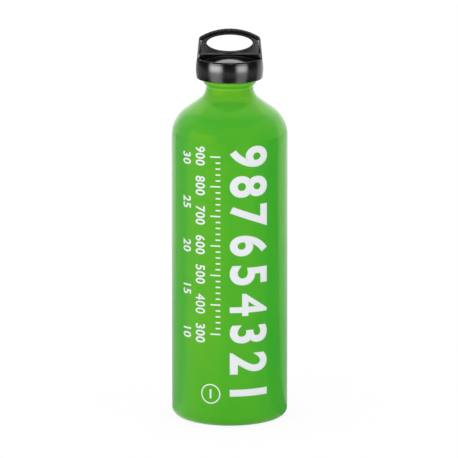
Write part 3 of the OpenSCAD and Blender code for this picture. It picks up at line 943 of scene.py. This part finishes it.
def lit_floor():
    """The light on the floor as the lacquer mirrors it: even in front, brighter on the key lamp's side,
    fading in with the distance at the back, and none in a dark band on the right. The closure doesn't
    mirror it, so its front is black."""
    f = Finish("lit_floor")
    front = FRONT_LIGHT * toward(f, FRONT_SIDE, 83, 58) + KEY_LIGHT * toward(f, KEY_SIDE, 50, 8)
    rear = REAR_LIGHT * toward(f, REAR_SIDE, 60, 57) * distance(f).ramp(0.1, 0.9)
    open_side = FLOOR_LIGHT * (1.0 - toward(f, BAND_SIDE, 25, 14))
    f.end("Material Output", veil(f, front * (0.6 + 0.4 * distance(f).ramp(0.05, 0.3)) + rear + open_side))
    return staged("lit_floor", [circle(0.03, 0.0006), circle(ROOM_R, 0.0006)], f.material, True)


def lit_room():
    """The room as the lacquer mirrors it: a white backdrop behind, up to fifty degrees, whose left and
    right edges lean inwards, a softbox on the left, a dimmer ceiling and dimmer sides."""
    f = Finish("lit_room")
    looking = f.vector("NORMALIZE", f.place)
    x, z = f.axis(looking, 0), f.axis(looking, 2)
    backdrop = 1.0 - z.ramp(0.75, 0.79)
    for edge in (LEFT_EDGE, RIGHT_EDGE):
        backdrop = backdrop * f.vector("DOT_PRODUCT", looking, edge, "Value").ramp(-0.01, 0.02)
    ceiling = z.ramp(0.6, 0.9)
    sides = x.maths("ABSOLUTE").ramp(0.7, 1.0)
    room = (1.0 - ceiling) * (ROOM_LEVEL - SIDE_DIM * sides) + CEILING_LEVEL * ceiling
    box = SOFTBOX_LIGHT * toward(f, SOFTBOX_SIDE, 40, 12) * z.ramp(-0.06, 0.06) * (1.0 - z.ramp(0.35, 0.5))
    f.end("Material Output", veil(f, BACKDROP_LEVEL * backdrop + (1.0 - backdrop) * room + box))
    tilt = np.radians(np.linspace(-6, 89.9, 25))
    return staged("lit_room", [circle(ROOM_R * math.cos(t), ROOM_R * math.sin(t)) for t in tilt], f.material, True)


def closure_strips():
    """Two soft strips in front that only the closure mirrors, stronger above than below. They stand so
    near that the loop's slopes mirror their strong part and the low skirt their weak one."""
    f = Finish("closure_strips")
    rise = 0.22 + 0.78 * f.height(236, 245)
    strips = LEFT_STRIP * toward(f, -42, 25.5, 6) + RIGHT_STRIP * toward(f, 36, 21.5, 4)
    f.end("Material Output", veil(f, strips * rise * (1.0 - f.height(253, 259))))
    return staged("closure_strips", [circle(0.07, 0.15), circle(0.07, 0.26)], f.material, True)


def closure_walls():
    """A dim wall behind on both sides, which only the closure mirrors."""
    f = Finish("closure_walls")
    walls = RIGHT_WALL * toward(f, 138, 34, 26) + LEFT_WALL * toward(f, -168, 32, 20)
    f.end("Material Output", veil(f, walls * (1.0 - f.height(305, 335))))
    return staged("closure_walls", [circle(0.4, 0.002), circle(0.4, 0.335)], f.material, True)


def closure_floor():
    """The floor as the closure mirrors it: lit near the bottle, most at the front right, and far away,
    most in front."""
    f = Finish("closure_floor")
    near = NEAR_LIGHT + 2.5 * toward(f, 38, 40, 15)
    far = FAR_LIGHT * (0.5 + 0.5 * toward(f, 0, 95, 60)) * distance(f).ramp(0.6, 1.0)
    f.end("Material Output", veil(f, near * (1.0 - distance(f).ramp(0.18, 0.34)) + far))
    return staged("closure_floor", [circle(0.042, 0.0009), circle(0.34, 0.0009), circle(2.5, 0.0009)], f.material, True)


def surroundings():
    """White to the camera, a soft even light on matt surfaces, and nearly dark where it is mirrored."""
    world = bpy.data.worlds.new("surroundings")
    bpy.context.scene.world = world
    world.use_nodes = True
    w = Tree(world.node_tree)
    camera_ray, glossy_ray = w.rays()
    level = camera_ray + glossy_ray * DARK_ROOM + (1.0 - camera_ray - glossy_ray) * AMBIENT
    background = world.node_tree.nodes["Background"]
    background.inputs["Color"].default_value = (1, 1, 1, 1)
    world.node_tree.links.new(level.socket, background.inputs["Strength"])


def softbox(name, azimuth, elevation, aim_z, distance, size, level):
    """A lamp that faces a height on the bottle's axis. Its level is its brightness, so its power is the
    level times pi times its area."""
    light = bpy.data.lights.new(name, "AREA")
    light.shape, light.size, light.size_y = "RECTANGLE", size[0], size[1]
    light.energy = level * math.pi * size[0] * size[1]
    made = bpy.data.objects.new(name, light)
    middle = Vector((0, 0, aim_z))
    made.location = middle + direction(azimuth, elevation) * distance
    made.rotation_euler = (middle - made.location).to_track_quat("-Z", "Y").to_euler()
    made.visible_camera = False
    bpy.context.scene.collection.objects.link(made)
    return made


AMBIENT, DARK_ROOM, ROOM_R, FLOOR_GREY, FLOOR_LIGHT = 0.86, 0.06, 6.0, 0.0, 0.38
FRONT_LIGHT, FRONT_SIDE, KEY_LIGHT, KEY_SIDE, REAR_LIGHT, REAR_SIDE = 0.5, -22.0, 0.65, -50.0, 0.45, 168.0
ROOM_LEVEL, SIDE_DIM, CEILING_LEVEL, BACKDROP_LEVEL = 0.95, 0.3, 0.6, 1.25
BAND_SIDE, SOFTBOX_SIDE, SOFTBOX_LIGHT = 93.0, -60.0, 1.0
LEFT_EDGE, RIGHT_EDGE = (0.822, 0.529, 0.21), (-0.269, 0.834, -0.481)
LEFT_STRIP, RIGHT_STRIP, RIGHT_WALL, LEFT_WALL, NEAR_LIGHT, FAR_LIGHT = 15.0, 12.0, 0.8, 0.08, 1.8, 0.6

staged("floor", [[(-6, -6, 0), (6, -6, 0)], [(-6, 6, 0), (6, 6, 0)]], pale_floor())
surroundings()
for surface in (lit_floor(), lit_room()):
    only_for(surface, surface.name, [closure], "EXCLUDE")
for surface in (closure_strips(), closure_walls(), closure_floor()):
    only_for(surface, surface.name, [closure])
for name, azimuth, elevation, level in (("key", -38, 32, 0.9), ("fill", 50, 22, 0.5), ("top", 180, 80, 1.0)):
    softbox(name, azimuth, elevation, 0.13, 2.0, (1.4, 1.4), level).visible_glossy = False
for name, azimuth, elevation, size, level in (("closure_rear", 180, 42, (1.15, 0.8), 2.7), (
        "closure_high", 0, 38, (0.4, 0.3), 6.0)):
    panel = softbox(name, azimuth, elevation, 0.25, 1.2, size, level)
    panel.visible_diffuse = False
    only_for(panel, name, [closure])

camera = bpy.data.objects.new("camera", bpy.data.cameras.new("camera"))
camera.data.lens, camera.data.sensor_width = LENS, 36.0
camera.data.clip_start, camera.data.clip_end = 0.05, 50.0
back = direction(0, CAMERA_ELEVATION)
camera.location = Vector((AIM_X, 0, AIM_Z)) * MM + back * CAMERA_DISTANCE * MM
camera.rotation_euler = (-back).to_track_quat("-Z", "Y").to_euler()
bpy.context.scene.collection.objects.link(camera)
bpy.context.scene.camera = camera
bpy.context.scene.view_settings.view_transform = "Standard"
